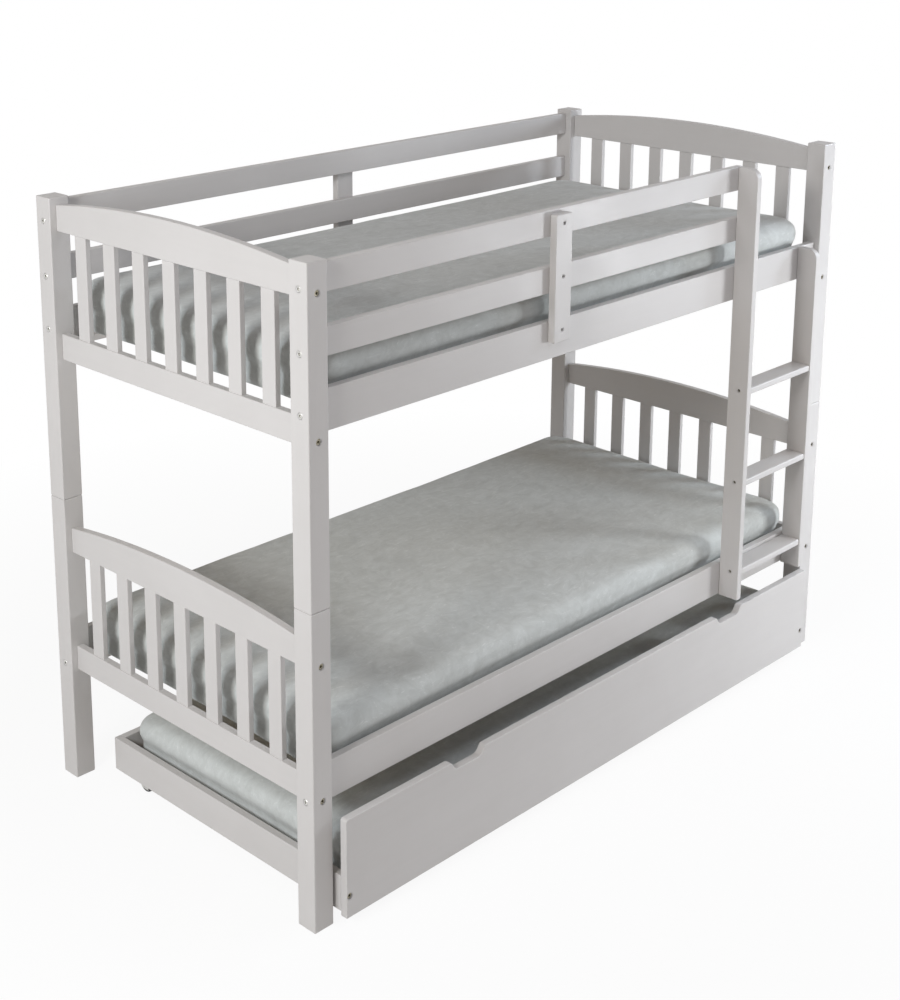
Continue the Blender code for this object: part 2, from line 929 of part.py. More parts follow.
def build():
    """The whole bed, centred over its outer sizes."""
    clear_scene()
    paint = surface("light_grey_paint", (0.60, 0.595, 0.585), 0.42)
    wood = surface("plain_pine", (0.70, 0.52, 0.33), 0.6)
    cover = surface("brushed_grey_fabric", (0.34, 0.345, 0.335), 0.85)
    steel = surface("zinc_plated_steel", (0.62, 0.60, 0.55), 0.35, 1.0)
    tyre = surface("black_wheel", (0.02, 0.02, 0.022), 0.5)

    frame = anchor("bed_frame", (0, (front_reach - back_reach) / 2, 0))
    add_posts(paint, steel, frame)
    add_end_panels(paint, frame)
    add_side_rails(paint, frame)
    add_bunk_bases(wood, frame)
    add_guard_rails(paint, frame)
    add_supports(paint, frame)
    add_ladder(paint, frame)
    add_bunk_mattresses(cover, frame)

    trundle = anchor("trundle", (0, 0, 0), frame)
    add_trundle_boards(paint, trundle)
    add_trundle_bed(wood, cover, trundle)
    add_casters(steel, tyre, trundle)


build()
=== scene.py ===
# %% [markdown]
# # A painted bunk bed with a trundle
#
# The bed on this page is a simple piece of joinery: eight square post halves, boards
# with eased edges, slats in the end panels, a ladder, three foam mattresses and a low
# trundle that rolls out on casters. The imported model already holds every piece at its
# real size. Here each piece gets the finer shape and the finish that a camera sees.
# Loading the model first means that every new piece can ask it where things are.

import math

import bmesh
import bpy
from mathutils import Matrix, Vector, noise
from mathutils.bvhtree import BVHTree


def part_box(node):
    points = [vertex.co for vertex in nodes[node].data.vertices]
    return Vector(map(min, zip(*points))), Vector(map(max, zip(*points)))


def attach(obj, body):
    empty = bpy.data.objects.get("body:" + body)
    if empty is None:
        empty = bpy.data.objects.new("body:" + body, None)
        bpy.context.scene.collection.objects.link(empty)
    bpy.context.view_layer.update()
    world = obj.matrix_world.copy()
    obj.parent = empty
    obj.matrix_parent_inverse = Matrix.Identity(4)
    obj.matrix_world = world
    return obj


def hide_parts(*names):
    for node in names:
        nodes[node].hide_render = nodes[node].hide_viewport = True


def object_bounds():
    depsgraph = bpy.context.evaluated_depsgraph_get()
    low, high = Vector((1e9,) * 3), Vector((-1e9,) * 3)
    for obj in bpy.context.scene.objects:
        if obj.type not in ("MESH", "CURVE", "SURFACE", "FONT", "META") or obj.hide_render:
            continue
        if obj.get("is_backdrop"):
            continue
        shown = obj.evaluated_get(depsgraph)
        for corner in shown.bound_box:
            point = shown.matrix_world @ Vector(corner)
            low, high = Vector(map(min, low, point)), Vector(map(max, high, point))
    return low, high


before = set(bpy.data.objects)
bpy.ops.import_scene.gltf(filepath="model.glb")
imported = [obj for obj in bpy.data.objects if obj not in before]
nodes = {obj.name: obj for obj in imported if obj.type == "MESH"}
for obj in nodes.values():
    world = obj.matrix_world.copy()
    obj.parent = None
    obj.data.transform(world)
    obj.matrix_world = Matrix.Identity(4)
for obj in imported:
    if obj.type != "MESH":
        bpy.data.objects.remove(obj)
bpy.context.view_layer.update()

levels = ("lower", "upper")
faces = {"front": -1, "back": 1}
ends = {"left": -1, "right": 1}

# %% [markdown]
# ## The camera
#
# The picture was taken from a little above the upper bunk, past the left end. A long
# lens keeps the posts nearly parallel. The bed sits low and left of the lens's own
# centre line, so the camera is shifted instead of tilted further.

# %% Camera
def add_object(name, data):
    """A new object, linked into the scene."""
    made = bpy.data.objects.new(name, data)
    bpy.context.scene.collection.objects.link(made)
    return made


camera_place = Vector((-3.22130, -2.92225, 2.35932))
camera_turn = [math.radians(turn) for turn in (76.46935, 0.07972, -44.77568)]
camera_data = bpy.data.cameras.new("photo_camera")
camera_data.lens = 60.29
camera_data.sensor_width = 36
camera_data.shift_x = 0.0632
camera_data.shift_y = -0.24495
camera_data.clip_end = 60
camera = add_object("photo_camera", camera_data)
camera.location = camera_place
camera.rotation_euler = camera_turn
bpy.context.scene.camera = camera
bpy.context.scene.view_settings.view_transform = "Standard"
print("camera", round(camera_place.length, 2), "m from the frame's origin")

# %% [markdown]
# ## Light
#
# Two lamps past the left end, one near and one far and high, make the end panels the
# brightest part. Two stand at the right, one of them low and close, so the long boards
# grow lighter towards the ladder. A wide soft lamp hangs in front for all tops. Most
# lamps are a little cool and the room's even light is warm, as in the photo's shade.


# %% Lamps
def add_lamp(name, place, aim, width, watts, color):
    """A round lamp at its place that looks at a point."""
    data = bpy.data.lights.new(name, "AREA")
    data.shape = "DISK"
    data.size = width
    data.energy = watts
    data.color = color
    lamp = add_object(name, data)
    lamp.location = place
    lamp.rotation_euler = (Vector(aim) - Vector(place)).to_track_quat("-Z", "Y").to_euler()


add_lamp("near_left_lamp", (-3.5, -0.25, 1.9), (-1.0, 0, 0.9), 0.6, 31, (0.88, 0.94, 1))
add_lamp("high_left_lamp", (-4.6, -1.2, 3.0), (-0.9, 0, 0.8), 1.0, 83, (1, 0.985, 0.965))
add_lamp("low_right_lamp", (1.6, -1.9, 1.0), (0.9, -0.4, 0.7), 0.5, 19.2, (0.94, 0.97, 1))
add_lamp("far_right_lamp", (3.0, -1.6, 2.0), (0.9, -0.4, 0.8), 0.7, 30, (0.78, 0.88, 1))
add_lamp("wide_front_lamp", (0.3, -2.2, 3.6), (0.1, 0, 0.4), 2.0, 19, (0.86, 0.89, 1))

# %% [markdown]
# ## Small tools for materials
#
# A material here is a chain of nodes. One helper adds a node and sets or joins its
# inputs in the same call, and another makes a group that several materials can share.


# %% Node helpers
def add_node(tree, kind, inputs=None, **settings):
    """A node with its settings; an input is a value or another node's output."""
    made = tree.nodes.new(kind)
    for name, value in settings.items():
        setattr(made, name, value)
    for name, value in (inputs or {}).items():
        if isinstance(value, bpy.types.NodeSocket):
            tree.links.new(value, made.inputs[name])
        else:
            made.inputs[name].default_value = value
    return made


def calculate(tree, operation, first, second=0.0, third=0.0):
    """One step of arithmetic; gives its output."""
    inputs = {0: first, 1: second, 2: third}
    return add_node(tree, "ShaderNodeMath", inputs, operation=operation).outputs[0]


def spread(tree, value, low, high, to_low=0.0, to_high=1.0):
    """Stretch the part of a value between low and high over a new range."""
    inputs = {"Value": value, "From Min": low, "From Max": high}
    inputs |= {"To Min": to_low, "To Max": to_high}
    return add_node(tree, "ShaderNodeMapRange", inputs).outputs["Result"]


def blend(tree, share, first, second):
    """A colour between two others; gives its output."""
    made = add_node(tree, "ShaderNodeMix", {0: share, 6: first, 7: second}, data_type="RGBA")
    return made.outputs[2]


def noise_at(tree, place, scale, detail, roughness=0.5, distortion=0.0):
    """Soft noise over coordinates; gives its value."""
    inputs = {"Vector": place, "Scale": scale, "Detail": detail}
    inputs |= {"Roughness": roughness, "Distortion": distortion}
    return add_node(tree, "ShaderNodeTexNoise", inputs).outputs["Fac"]


def mapped(tree, place, scale=(1, 1, 1), rotation=(0, 0, 0)):
    """Coordinates that are stretched or turned."""
    inputs = {"Vector": place, "Scale": scale, "Rotation": rotation}
    return add_node(tree, "ShaderNodeMapping", inputs).outputs[0]


def new_group(name, floats, outputs):
    """A shader group from a vector and floats to floats, its inputs and its outputs."""
    tree = bpy.data.node_groups.new(name, "ShaderNodeTree")
    sockets = tree.interface
    sockets.new_socket(name="Vector", in_out="INPUT", socket_type="NodeSocketVector")
    for title, value in floats.items():
        made = sockets.new_socket(name=title, in_out="INPUT", socket_type="NodeSocketFloat")
        made.default_value = value
    for title in outputs:
        sockets.new_socket(name=title, in_out="OUTPUT", socket_type="NodeSocketFloat")
    given = tree.nodes.new("NodeGroupInput").outputs
    gives = tree.nodes.new("NodeGroupOutput").inputs
    return tree, given, gives


def place_group(tree, group, place, **values):
    """A group inside a material, with its inputs set; gives its outputs."""
    inputs = {name.replace("_", " "): value for name, value in values.items()}
    inputs["Vector"] = place
    return add_node(tree, "ShaderNodeGroup", inputs, node_tree=group).outputs


def new_material(name):
    """A material with its node tree, its shader and the piece's own coordinates."""
    material = bpy.data.materials.new(name)
    material.use_nodes = True
    tree = material.node_tree
    place = add_node(tree, "ShaderNodeTexCoord").outputs["Object"]
    return material, tree, tree.nodes["Principled BSDF"], place


def set_plain(shader, **values):
    """Constants on the shader's own sockets."""
    for name, value in values.items():
        shader.inputs[name.replace("_", " ")].default_value = value


def set_finish(shader, color, rough):
    """Feed a colour and a roughness to the shader."""
    links = shader.id_data.links
    links.new(color, shader.inputs["Base Color"])
    links.new(rough, shader.inputs["Roughness"])


def set_bump(shader, height, distance, strength):
    """Feed a height through a bump node to the shader."""
    inputs = {"Height": height, "Distance": distance, "Strength": strength}
    bump = add_node(shader.id_data, "ShaderNodeBump", inputs)
    shader.id_data.links.new(bump.outputs["Normal"], shader.inputs["Normal"])


# %% [markdown]
# ## Effects that several finishes share
#
# Pine shows long figure lines, even under paint. Paint has a skin: a slight orange peel
# and large soft patches where it went on thicker. A bevel node finds the eased edges
# without any painted mask; painted boards get a painted highlight there, and steel and
# plastic get bare metal and pale scuffs. Metal and plastic carry fine scratches. Each of
# these becomes one group.

# %% Board grain
grain, given, gives = new_group("board_grain", {"Width": 26.0}, ("Figure", "Pores"))
place = given["Vector"]
long_place = mapped(grain, place, (0.05, 1, 1))
figure = noise_at(grain, long_place, given["Width"], 3.0, 0.55, 0.5)
rings = calculate(grain, "PINGPONG", calculate(grain, "MULTIPLY", figure, 7), 1)
pores = noise_at(grain, mapped(grain, place, (0.03, 1, 1)), 620.0, 2.0, 0.6)
grain.links.new(rings, gives["Figure"])
grain.links.new(spread(grain, pores, 0.35, 0.65), gives["Pores"])

# %% Paint skin
skin, given, gives = new_group("paint_skin", {"Peel Scale": 420.0}, ("Peel", "Patch"))
place = given["Vector"]
patch = noise_at(skin, place, 4.5, 3.0, 0.55)
skin.links.new(noise_at(skin, place, given["Peel Scale"], 1.5), gives["Peel"])
skin.links.new(spread(skin, patch, 0.3, 0.7), gives["Patch"])

# %% Edge highlight and wear
# On painted boards this edge mask places a painted highlight, on steel bare metal and on
# plastic pale scuffs.
edge_highlight_and_wear, given, gives = new_group("edge_light_and_wear_mask", {"Reach": 0.003, "Break Up": 60.0}, ("Mask",))
rounded = add_node(edge_highlight_and_wear, "ShaderNodeBevel", {"Radius": given["Reach"]}, samples=4)
surface = add_node(edge_highlight_and_wear, "ShaderNodeNewGeometry")
normals = {0: rounded.outputs[0], 1: surface.outputs["Normal"]}
turned = add_node(edge_highlight_and_wear, "ShaderNodeVectorMath", normals, operation="DOT_PRODUCT")
edge_breakup = noise_at(edge_highlight_and_wear, given["Vector"], given["Break Up"], 4.0)
edge = spread(edge_highlight_and_wear, turned.outputs["Value"], 0.995, 0.86)
broken = calculate(edge_highlight_and_wear, "MULTIPLY", edge, spread(edge_highlight_and_wear, edge_breakup, 0.35, 0.62))
edge_highlight_and_wear.links.new(broken, gives["Mask"])

# %% Fine scratches
scratch, given, gives = new_group("fine_scratches", {"Scale": 400.0}, ("Lines", "Stain"))
place = given["Vector"]
drawn = mapped(scratch, place, (1, 0.08, 1))
scratch.links.new(noise_at(scratch, drawn, given["Scale"], 4.0), gives["Lines"])
scratch.links.new(noise_at(scratch, place, 120.0, 4.0), gives["Stain"])
print("groups", len(bpy.data.node_groups))

# %% [markdown]
# ## Satin paint on pine
#
# The boards are pine under a light grey satin paint. The colour is nearly even, so the
# eye reads the finish from its shine: a little rougher in patches, a trace of the grain
# as long shallow ridges, and a painted highlight of lighter paint on the eased edges.
# The grain has to run along each board, so there are three materials that differ only
# in how the pattern is turned.

# %% Painted boards
paint_color = (0.600, 0.583, 0.572, 1)
paint_shade = (0.555, 0.538, 0.526, 1)
# Painted highlight: the lighter grey that the eased edges are painted.
paint_edge_highlight = (0.70, 0.685, 0.67, 1)
grain_turns = {
    "along": (0, 0, 0),
    "across": (0, 0, math.pi / 2),
    "upright": (0, math.pi / 2, 0),
}


def painted_boards(direction):
    """Light grey satin paint with the grain turned to the board's length."""
    material, tree, shader, place = new_material(f"satin_paint_{direction}")
    turned = mapped(tree, place, rotation=grain_turns[direction])
    wood = place_group(tree, grain, turned, Width=24.0)
    coat = place_group(tree, skin, place, Peel_Scale=380.0)
    edge_mask = place_group(tree, edge_highlight_and_wear, place, Reach=0.0025, Break_Up=70.0)
    figure, pores = wood["Figure"], wood["Pores"]
    faint = calculate(tree, "MULTIPLY", figure, 0.15)
    shade = calculate(tree, "MULTIPLY_ADD", coat["Patch"], 0.5, faint)
    body = blend(tree, shade, paint_color, paint_shade)
    # The eased edges are blended towards the lighter grey: a painted highlight.
    edge_highlight_share = calculate(tree, "MULTIPLY", edge_mask["Mask"], 0.55)
    rough = calculate(tree, "MULTIPLY_ADD", coat["Patch"], 0.07, 0.35)
    rough = calculate(tree, "MULTIPLY_ADD", pores, 0.06, rough)
    set_finish(shader, blend(tree, edge_highlight_share, body, paint_edge_highlight), rough)
    ridges = calculate(tree, "MULTIPLY_ADD", figure, 0.25, pores)
    height = calculate(tree, "MULTIPLY_ADD", coat["Peel"], 0.8, ridges)
    set_bump(shader, height, 0.00010, 0.6)
    set_plain(shader, IOR=1.5)
    return material


paints = {direction: painted_boards(direction) for direction in grain_turns}
print("paints", list(paints))

# %% [markdown]
# ## Bare pine, webbing and metal
#
# The slats under the mattresses stay unpainted. Their rings are the same grain group
# with far more contrast, warmed by a second tone and broken by a few knots. Two cloth
# tapes join them. Bolts and casters are zinc plated, which has a faint yellow cast. The
# bolts get two copies of the plating: a darker one, painted shade, and a lighter one,
# painted light, for the bolts in the posts' end faces.

# %% Plain pine
def plain_pine():
    """Unpainted planed pine, its grain across the bed."""
    material, tree, shader, place = new_material("planed_pine")
    turned = mapped(tree, place, rotation=grain_turns["across"])
    wood = place_group(tree, grain, turned, Width=18.0)
    figure, pores = wood["Figure"], wood["Pores"]
    inputs = {"Vector": turned, "Scale": 5.0}
    knots = add_node(tree, "ShaderNodeTexVoronoi", inputs, feature="F1")
    knot = spread(tree, knots.outputs["Distance"], 0.10, 0.03)
    body = blend(tree, figure, (0.74, 0.55, 0.34, 1), (0.55, 0.34, 0.17, 1))
    pore_share = calculate(tree, "MULTIPLY", pores, 0.4)
    pale = blend(tree, pore_share, body, (0.8, 0.65, 0.45, 1))
    rough = calculate(tree, "MULTIPLY_ADD", figure, 0.12, 0.52)
    set_finish(shader, blend(tree, knot, pale, (0.26, 0.13, 0.06, 1)), rough)
    set_bump(shader, pores, 0.0002, 0.6)
    return material


pine = plain_pine()


# %% Webbing tape
def webbing_cloth():
    """Woven tape: fine ribs across its length over a coarser slack."""
    material, tree, shader, place = new_material("woven_tape")
    inputs = {"Vector": place, "Scale": 260.0, "Distortion": 0.6}
    ribs = add_node(tree, "ShaderNodeTexWave", inputs)
    threads = noise_at(tree, place, 900.0, 2.0)
    weave = calculate(tree, "MULTIPLY_ADD", threads, 0.6, ribs.outputs["Fac"])
    share = spread(tree, weave, 0.2, 1.4)
    cloth = blend(tree, share, (0.42, 0.41, 0.38, 1), (0.66, 0.65, 0.61, 1))
    set_finish(shader, cloth, spread(tree, share, 0, 1, 0.95, 0.8))
    set_bump(shader, weave, 0.0003, 0.8)
    return material


webbing = webbing_cloth()

# %% Plated steel
bare_steel = (0.80, 0.79, 0.76, 1)


def plated_steel(name, tint, dull):
    """Zinc plating: metal with soft stains and drawn lines in its shine."""
    material, tree, shader, place = new_material(name)
    marks = place_group(tree, scratch, place, Scale=500.0)
    edge_mask = place_group(tree, edge_highlight_and_wear, place, Reach=0.0008, Break_Up=300.0)
    stained = spread(tree, marks["Stain"], 0.35, 0.7)
    body = blend(tree, stained, tint, dull)
    rough = spread(tree, marks["Lines"], 0.3, 0.7, 0.24, 0.42)
    set_finish(shader, blend(tree, edge_mask["Mask"], body, bare_steel), rough)
    set_bump(shader, marks["Lines"], 0.00003, 0.6)
    set_plain(shader, Metallic=1.0)
    return material


# Two copies of one plating: the darker is painted shade, the lighter painted light.
painted_shade_bolt_steel = plated_steel("yellow_zinc_painted_shade", (0.36, 0.33, 0.25, 1), (0.20, 0.18, 0.13, 1))
painted_light_bolt_steel = plated_steel("zinc_painted_light", bare_steel, (0.52, 0.51, 0.48, 1))
fork_steel = plated_steel("plain_zinc", (0.60, 0.59, 0.56, 1), (0.42, 0.42, 0.41, 1))


# %% Black wheel
def moulded_wheel(name, tone, scuff, rough_low, rough_high):
    """Moulded black plastic or rubber with pale scuffs where it is rubbed."""
    material, tree, shader, place = new_material(name)
    marks = place_group(tree, scratch, place, Scale=260.0)
    edge_mask = place_group(tree, edge_highlight_and_wear, place, Reach=0.0012, Break_Up=220.0)
    scuffed = spread(tree, marks["Stain"], 0.6, 0.8)
    worn = calculate(tree, "MAXIMUM", edge_mask["Mask"], scuffed)
    rough = spread(tree, marks["Lines"], 0.3, 0.7, rough_low, rough_high)
    set_finish(shader, blend(tree, worn, tone, scuff), rough)
    set_bump(shader, marks["Lines"], 0.00006, 0.6)
    return material


tread_black = (0.018, 0.018, 0.019, 1)
hub_black = (0.022, 0.022, 0.024, 1)
tyre = moulded_wheel("wheel_tread", tread_black, (0.075, 0.072, 0.07, 1), 0.5, 0.75)
hub = moulded_wheel("wheel_hub", hub_black, (0.06, 0.06, 0.062, 1), 0.28, 0.45)
print("metals", [item.name for item in (painted_shade_bolt_steel, painted_light_bolt_steel, fork_steel)])
print("plastics", [item.name for item in (tyre, hub)])

# %% [markdown]
# ## Brushed mattress cover
#
# The cover is a short grey pile, like a soft suede. Brushed the other way it catches
# more light, which shows as faint streaks, frosted patches a few centimetres wide and
# single pale fibres. One group makes all three from the same slightly pushed
# coordinates, and the shader's sheen adds the pale rim of a velvet.

# %% Brushed pile
nap, given, gives = new_group("brushed_pile", {}, ("Frost", "Fibres", "Pile"))
place = given["Vector"]
drift = add_node(nap, "ShaderNodeTexNoise", {"Vector": place, "Scale": 3.0, "Detail": 2.0})
moves = {0: drift.outputs["Color"], 1: (0.12, 0.12, 0.12), 2: place}
pushed = add_node(nap, "ShaderNodeVectorMath", moves, operation="MULTIPLY_ADD").outputs[0]
long_way = mapped(nap, pushed, (0.22, 1, 0.8), (0, 0, 0.12))
streaks = noise_at(nap, long_way, 60.0, 5.0, 0.65, 0.5)
clouds = noise_at(nap, pushed, 26.0, 6.0, 0.68, 0.8)
threads = noise_at(nap, long_way, 120.0, 3.0, 0.6, 1.6)
streak = spread(nap, streaks, 0.35, 0.70)
cloud = spread(nap, clouds, 0.34, 0.70)
frost = calculate(nap, "MULTIPLY_ADD", streak, 0.35, calculate(nap, "MULTIPLY", cloud, 0.65))
fibres = calculate(nap, "MULTIPLY", spread(nap, threads, 0.61, 0.69), cloud)
nap.links.new(frost, gives["Frost"])
nap.links.new(fibres, gives["Fibres"])
nap.links.new(noise_at(nap, place, 700.0, 3.0, 0.7), gives["Pile"])


# %% Mattress cover
def brushed_cover():
    """Grey pile with frosted patches and single pale fibres."""
    material, tree, shader, place = new_material("brushed_grey_pile")
    brushed = place_group(tree, nap, place)
    speck = calculate(tree, "MULTIPLY_ADD", brushed["Pile"], 0.2, -0.1)
    share = calculate(tree, "ADD", brushed["Frost"], speck)
    cloth = blend(tree, share, (0.500, 0.520, 0.507, 1), (0.645, 0.672, 0.663, 1))
    fibre_share = calculate(tree, "MULTIPLY", brushed["Fibres"], 0.8)
    cloth = blend(tree, fibre_share, cloth, (0.80, 0.815, 0.805, 1))
    set_finish(shader, cloth, spread(tree, share, 0, 1, 0.92, 0.74))
    height = calculate(tree, "MULTIPLY_ADD", brushed["Pile"], 0.5, share)
    set_bump(shader, height, 0.0006, 0.45)
    set_plain(shader, Sheen_Weight=0.25, Sheen_Roughness=0.4, Specular_IOR_Level=0.2)
    return material


cover = brushed_cover()
print("cover", cover.name)

# %% [markdown]
# ## Small tools for wood
#
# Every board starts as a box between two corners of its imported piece. Its edges are
# eased with a bevel of three steps, and face weighted normals keep the broad faces flat
# while the thin round edge catches the light.


# %% Mesh helpers
edge_radius = 0.002
tiny = 1e-6
near = 1e-5


def add_box(bm, low, high):
    """A box between two corners; gives its corner points."""
    made = bmesh.ops.create_cube(bm, size=1)["verts"]
    bmesh.ops.scale(bm, vec=Vector(high) - Vector(low), verts=made)
    bmesh.ops.translate(bm, vec=(Vector(low) + Vector(high)) / 2, verts=made)
    return made


def edges_of(points):
    """All edges that touch the given points."""
    return list({edge for point in points for edge in point.link_edges})


def ease(bm, edges, radius=edge_radius, segments=3):
    """Round edges over to a radius."""
    form = {"offset": radius, "offset_type": "OFFSET", "segments": segments, "profile": 0.5}
    bmesh.ops.bevel(bm, geom=edges, affect="EDGES", clamp_overlap=True, material=-1, **form)


def span(edge, axis):
    """How far an edge reaches along an axis."""
    return abs(edge.verts[0].co[axis] - edge.verts[1].co[axis])


def sharp_edges(bm, degrees):
    """Edges where two faces meet at more than the given angle."""
    return [edge for edge in bm.edges if edge.calc_face_angle(0) > math.radians(degrees)]


def mesh_from(bm, name):
    """A bmesh turned into a mesh of its own."""
    mesh = bpy.data.meshes.new(name)
    bm.to_mesh(mesh)
    bm.free()
    return mesh


def baked(piece):
    """The piece's mesh with its modifiers carried out."""
    graph = bpy.context.evaluated_depsgraph_get()
    return bpy.data.meshes.new_from_object(piece.evaluated_get(graph))


def modified(mesh, kind, **settings):
    """A copy of a mesh with one modifier carried out."""
    holder = add_object("holder", mesh)
    modifier = holder.modifiers.new(kind.lower(), kind)
    for name, value in settings.items():
        setattr(modifier, name, value)
    made = baked(holder)
    bpy.data.objects.remove(holder)
    return made


def make_piece(name, bm, material, body, stands_for=(), flat_sides=True):
    """A finished mesh as a piece that rides on its body."""
    bmesh.ops.remove_doubles(bm, verts=bm.verts, dist=tiny)
    bmesh.ops.recalc_face_normals(bm, faces=bm.faces)
    mesh = mesh_from(bm, name)
    mesh.materials.append(material)
    mesh.shade_smooth()
    piece = add_object(name, mesh)
    if flat_sides:
        piece.modifiers.new("flat_sides", "WEIGHTED_NORMAL").weight = 100
    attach(piece, body)
    if stands_for:
        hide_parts(*stands_for)
    return piece


def painted_piece(name, bm, direction, node, body="bed_frame"):
    """A painted wooden piece in place of a packed one."""
    return make_piece(name, bm, paints[direction], body, (node,))


def eased_board(name, node, direction, body="bed_frame", radius=edge_radius):
    """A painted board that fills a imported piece's box."""
    bm = bmesh.new()
    ease(bm, edges_of(add_box(bm, *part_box(node))), radius)
    return painted_piece(name, bm, direction, node, body)


def box_middle(node):
    """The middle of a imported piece's box."""
    low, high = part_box(node)
    return (low + high) / 2


# %% [markdown]
# ## Bolts and their bores
#
# Knock-down furniture is pulled together with machine bolts. Their heads, with six-sided
# sockets, sit in flat bores just under the painted face. One cutter holds all the bores
# of a board, and the exact cut is kept in the mesh, so no hidden helper stays behind.

# %% Bores and bolt heads
bore_radius = 0.0082
bore_depth = 0.0085
head_radius = 0.0076
head_height = 0.0060
head_chamfer = 0.0012
socket_radius = 0.0037
socket_depth = 0.0050


def facing(outward):
    """The turn that takes straight up to the given direction."""
    return Vector((0, 0, 1)).rotation_difference(Vector(outward)).to_matrix().to_4x4()


def bore_board(piece, spots, radius=bore_radius, depth=bore_depth):
    """Cut flat bores at (place, outward direction) spots into a piece."""
    bm = bmesh.new()
    size = {"radius1": radius, "radius2": radius, "depth": 2 * depth}
    for place, outward in spots:
        matrix = Matrix.Translation(place) @ facing(outward)
        bmesh.ops.create_cone(bm, cap_ends=True, segments=24, matrix=matrix, **size)
    cutter = add_object("bores", mesh_from(bm, "bores"))
    plain = piece.data
    bored = modified(plain, "BOOLEAN", solver="EXACT", object=cutter)
    piece.data = bored
    bored.name = piece.name
    bpy.data.objects.remove(cutter)
    bpy.data.meshes.remove(plain)
    bored.shade_smooth()
    bored.set_sharp_from_angle(angle=math.radians(50))


def make_fasteners(name, part, spots, body, sunk, steel):
    """Copies of an upright part, sunk at (place, outward) spots, as one piece."""
    bm = bmesh.new()
    for place, outward in spots:
        count = len(bm.verts)
        bm.from_mesh(part)
        bm.verts.ensure_lookup_table()
        deep = Vector(place) - Vector(outward) * sunk
        matrix = Matrix.Translation(deep) @ facing(outward)
        bmesh.ops.transform(bm, matrix=matrix, verts=bm.verts[count:])
    bpy.data.meshes.remove(part)
    piece = make_piece(name, bm, steel, body, flat_sides=False)
    piece.data.set_sharp_from_angle(angle=math.radians(35))


def ring(bm, segments, radius, height, cap=False):
    """A circle of edges at a height; gives its edges."""
    matrix = Matrix.Translation((0, 0, height))
    size = {"segments": segments, "radius": radius}
    return edges_of(bmesh.ops.create_circle(bm, cap_ends=cap, matrix=matrix, **size)["verts"])


def bolt_head(size):
    """A round head with a chamfered rim and a six-sided socket."""
    head = bmesh.new()
    top = head_height * size
    rim = head_radius * size
    chamfer = head_chamfer * size
    socket = socket_radius * size
    rings = (
        ring(head, 6, socket, top - socket_depth * size, cap=True),
        ring(head, 6, socket, top),
        ring(head, 24, rim - chamfer, top),
        ring(head, 24, rim, top - chamfer),
        ring(head, 24, rim, 0, cap=True),
    )
    for inner, outer in zip(rings, rings[1:]):
        bmesh.ops.bridge_loops(head, edges=inner + outer)
    bmesh.ops.recalc_face_normals(head, faces=head.faces)
    return mesh_from(head, "bolt_head")


def make_bolts(name, spots, body, sunk=bore_depth, size=1.0, steel=painted_shade_bolt_steel):
    """All bolt heads of one place as a single piece."""
    make_fasteners(name, bolt_head(size), spots, body, sunk, steel)


# %% [markdown]
# ## Posts
#
# Each post is square pine, cut at half height where the two beds part, with a thin
# shadow line between the halves. Bolts for the long rails sit in its end face, nearly
# flush, in a lighter copy of the plating as painted light, and bolts for the panels in
# its long face, deeper, in a darker copy as painted shade.

# %% Posts
flush_depth = 0.0065
post_edge_radius = 0.003
rail_bolt_heights = {"lower": (0.3197,), "upper": (1.2175, 1.352, 1.4905)}
panel_bolt_heights = {"lower": (0.3210, 0.6460), "upper": (1.1595, 1.4815)}


def post_bolt_spots(level, face, end):
    """Where one post half's rail bolts and panel bolts sit, and which way they face."""
    low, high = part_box(f"{level}_post_{face}_{end}")
    end_x = low.x if ends[end] < 0 else high.x
    face_y = low.y if faces[face] < 0 else high.y
    rail_y = box_middle(f"side_rail_lower_{face}").y
    panel_x = box_middle(f"arch_rail_lower_{end}").x
    toward_end, toward_face = (ends[end], 0, 0), (0, faces[face], 0)
    rail_spots = [((end_x, rail_y, z), toward_end) for z in rail_bolt_heights[level]]
    panel_spots = [((panel_x, face_y, z), toward_face) for z in panel_bolt_heights[level]]
    return rail_spots, panel_spots


def dress_post(level, face, end):
    """One post half with its bores and bolts; gives the number of bolts."""
    node = f"{level}_post_{face}_{end}"
    rail_spots, panel_spots = post_bolt_spots(level, face, end)
    post = eased_board(f"painted_{node}", node, "upright", radius=post_edge_radius)
    bore_board(post, rail_spots, depth=flush_depth)
    bore_board(post, panel_spots)
    # End-face bolts take the lighter copy, painted light; long-face bolts the darker one,
    # painted shade.
    make_bolts(f"rail_bolts_{node}", rail_spots, "bed_frame", flush_depth, steel=painted_light_bolt_steel)
    make_bolts(f"panel_bolts_{node}", panel_spots, "bed_frame")
    return len(rail_spots) + len(panel_spots)


bolts = [dress_post(level, face, end) for level in levels for face in faces for end in ends]
print("post bolts", sum(bolts))

# %% [markdown]
# ## Rails
#
# Side rails and guard rails are plain boards between the posts. Each end that meets a
# post holds a barrel nut for its bolt, a steel button in a shallow bore in the board's
# face. The front guard rails end at the ladder and have a nut at their left end only.

# %% Side rails and guard rails
nut_from_post = 0.034
nut_bore = {"radius": 0.0052, "depth": 0.0015}
nut_radius = 0.005
nut_height = 0.003
nut_rim = 0.0004
nut_sunk = 0.0020
right_post_from = 0.9
rail_nut_heights = {
    "side_rail_lower": 0.3197,
    "side_rail_upper": 1.2175,
    "guard_rail_middle": 1.352,
    "guard_rail_top": 1.4905,
}
nut_spots = []
for kind, height in rail_nut_heights.items():
    for face in faces:
        node = f"{kind}_{face}"
        low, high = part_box(node)
        rail = eased_board(f"painted_{node}", node, "along")
        spots = [((low.x + nut_from_post, high.y, height), (0, 1, 0))]
        if high.x > right_post_from:
            spots.append(((high.x - nut_from_post, high.y, height), (0, 1, 0)))
        bore_board(rail, spots, **nut_bore)
        nut_spots += spots


